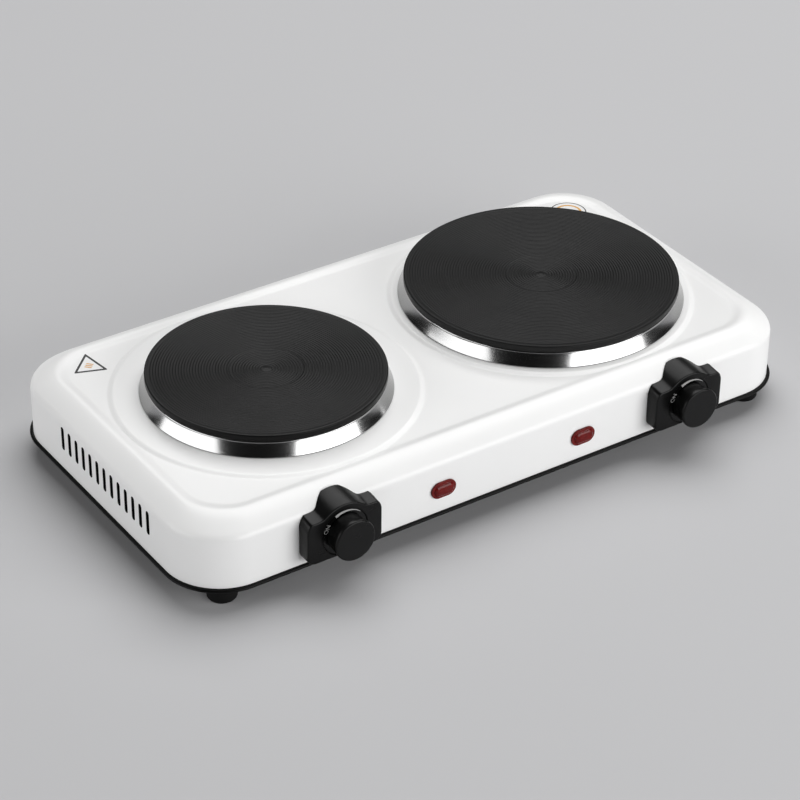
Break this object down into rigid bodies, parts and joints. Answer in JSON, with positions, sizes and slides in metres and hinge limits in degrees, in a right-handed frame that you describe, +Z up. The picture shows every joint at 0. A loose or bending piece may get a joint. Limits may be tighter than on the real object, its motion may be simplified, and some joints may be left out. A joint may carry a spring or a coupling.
{
  "type": "hot plate burner",
  "caption": "Two-plate electric hot plate: white pressed steel housing, round cast-iron plates in polished trim rings, front knobs on black bezels, red pilot lamps, rubber feet.",
  "frame": {"origin": "on the surface it stands on, under the centre of the whole object's box", "axes": "+X along the housing towards the large plate, +Z up; the knobs face -Y"},
  "size_m": [0.464, 0.2712, 0.075],
  "materials": {
    "white_enamel": "gloss white stove enamel",
    "black_paint": "satin black powder coat",
    "cast_iron": "matt black coated cast iron with fine turned rings",
    "polished_steel": "mirror-polished stainless steel",
    "black_plastic": "satin black heat-proof moulding",
    "rubber": "matt black rubber",
    "red_lens": "clear dark red moulded lens",
    "zinc_steel": "zinc-plated steel",
    "ceramic": "unglazed steatite",
    "heater_fibre": "pressed mineral filling round the coil",
    "brass": "brass",
    "lead_sleeve": "glass-fibre sleeve"
  },
  "bodies": {
    "housing": {"top_housing": "white_enamel", "base_plate": "black_paint", "foot_front_left": "rubber", "foot_screw_front_left": "zinc_steel", "base_screw_front_left": "zinc_steel", "foot_front_right": "rubber", "foot_screw_front_right": "zinc_steel", "base_screw_front_right": "zinc_steel", "foot_rear_left": "rubber", "foot_screw_rear_left": "zinc_steel", "base_screw_rear_left": "zinc_steel", "foot_rear_right": "rubber", "foot_screw_rear_right": "zinc_steel", "base_screw_rear_right": "zinc_steel", "small_plate": "cast_iron", "small_trim_ring": "polished_steel", "small_heater": "heater_fibre", "small_heat_shield": "zinc_steel", "small_bridge": "zinc_steel", "small_stud_nut": "zinc_steel", "large_plate": "cast_iron", "large_trim_ring": "polished_steel", "large_heater": "heater_fibre", "large_heat_shield": "zinc_steel", "large_bridge": "zinc_steel", "large_stud_nut": "zinc_steel", "bezel_left": "black_plastic", "thermostat_left": "ceramic", "thermostat_screw_left_a": "zinc_steel", "thermostat_screw_left_b": "zinc_steel", "pilot_lens_left": "red_lens", "pilot_lamp_left": "black_plastic", "supply_lead_left": "lead_sleeve", "heater_lead_left": "lead_sleeve", "bezel_right": "black_plastic", "thermostat_right": "ceramic", "thermostat_screw_right_a": "zinc_steel", "thermostat_screw_right_b": "zinc_steel", "pilot_lens_right": "red_lens", "pilot_lamp_right": "black_plastic", "supply_lead_right": "lead_sleeve", "heater_lead_right": "lead_sleeve", "cable_gland": "black_plastic", "terminal_block": "ceramic", "earth_screw": "brass"},
    "knob_left": {"knob_left": "black_plastic", "control_shaft_left": "zinc_steel"},
    "knob_right": {"knob_right": "black_plastic", "control_shaft_right": "zinc_steel"}
  },
  "joints": [
    {"name": "knob_left_turn", "type": "hinge", "parent": "housing", "child": "knob_left", "pos_m": [-0.1329, -0.1356, 0.0362], "axis": [0, 1, 0], "range_deg": [0, 270]},
    {"name": "knob_right_turn", "type": "hinge", "parent": "housing", "child": "knob_right", "pos_m": [0.1329, -0.1356, 0.0362], "axis": [0, 1, 0], "range_deg": [0, 270]}
  ]
}
